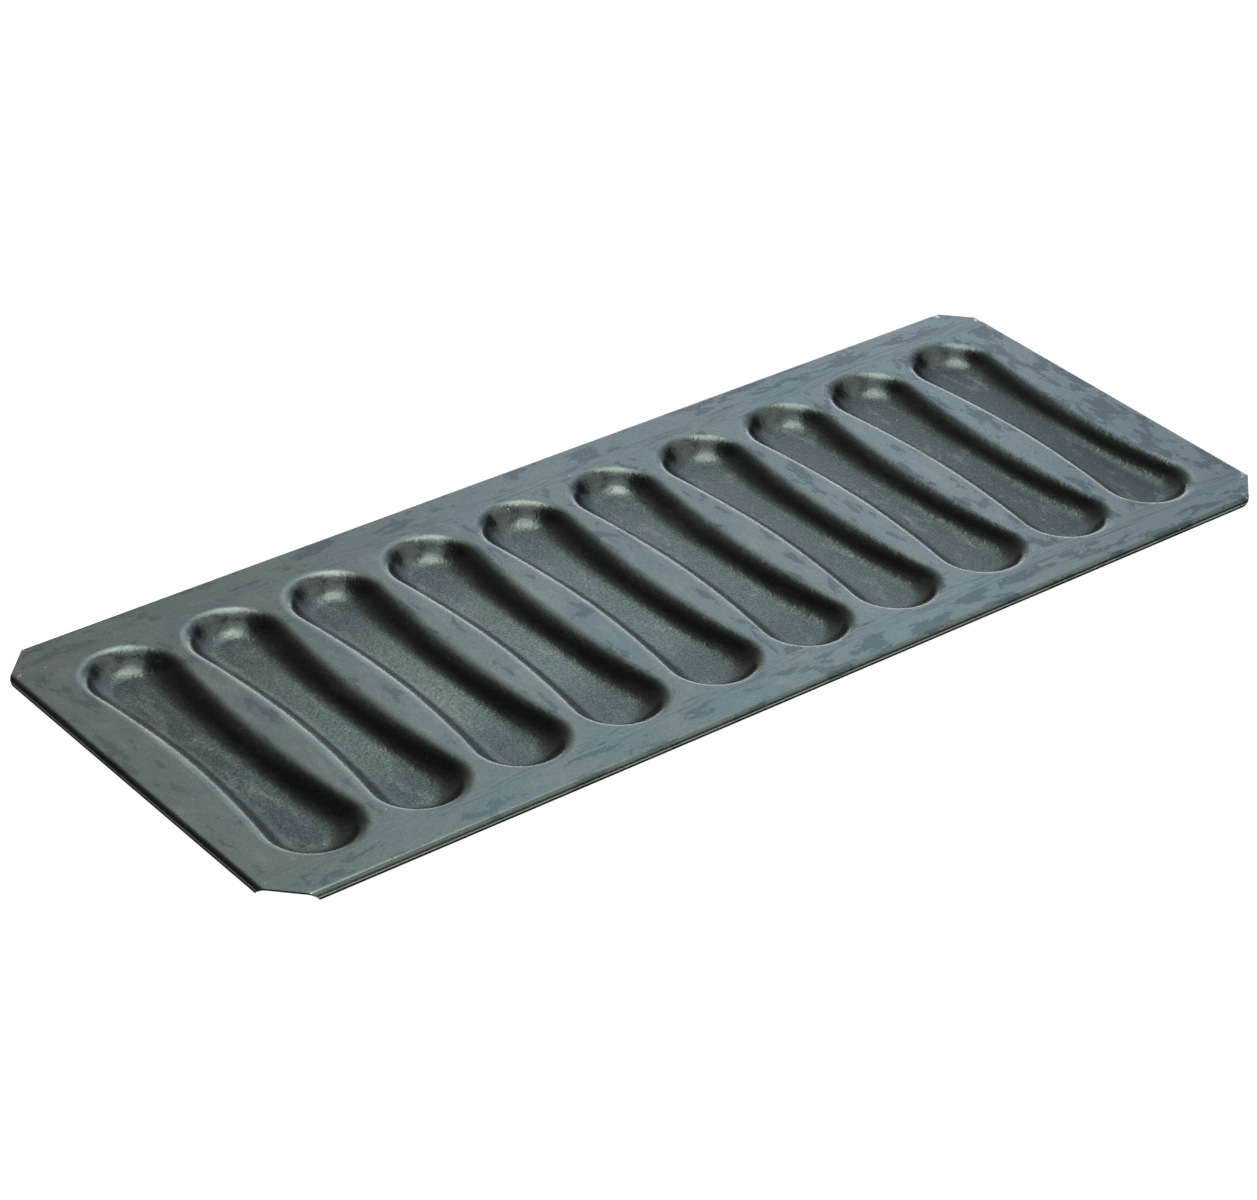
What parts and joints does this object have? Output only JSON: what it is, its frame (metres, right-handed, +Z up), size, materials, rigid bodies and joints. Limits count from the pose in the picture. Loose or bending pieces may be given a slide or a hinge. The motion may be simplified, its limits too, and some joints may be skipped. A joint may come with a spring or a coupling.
{
  "type": "langue de chat pan",
  "caption": "Thin dark steel baking pan pressed with a row of finger-shaped moulds, with rolled wired edges and clipped corners, for baking langue de chat biscuits.",
  "frame": {"origin": "centre of the pan's outline, on the surface that the moulds stand on", "axes": "+X along the row of moulds, +Y along each mould from the front side to the back side, +Z up out of the moulds"},
  "size_m": [0.31, 0.12, 0.0052],
  "materials": {
    "blued_sheet": "satin blue-black oxide on rolled steel sheet",
    "rim_wire": "plain drawn steel wire"
  },
  "bodies": {
    "root": {"pan_sheet": "blued_sheet", "front_rim_wire": "rim_wire", "right_rim_wire": "rim_wire", "back_rim_wire": "rim_wire", "left_rim_wire": "rim_wire"}
  },
  "joints": []
}
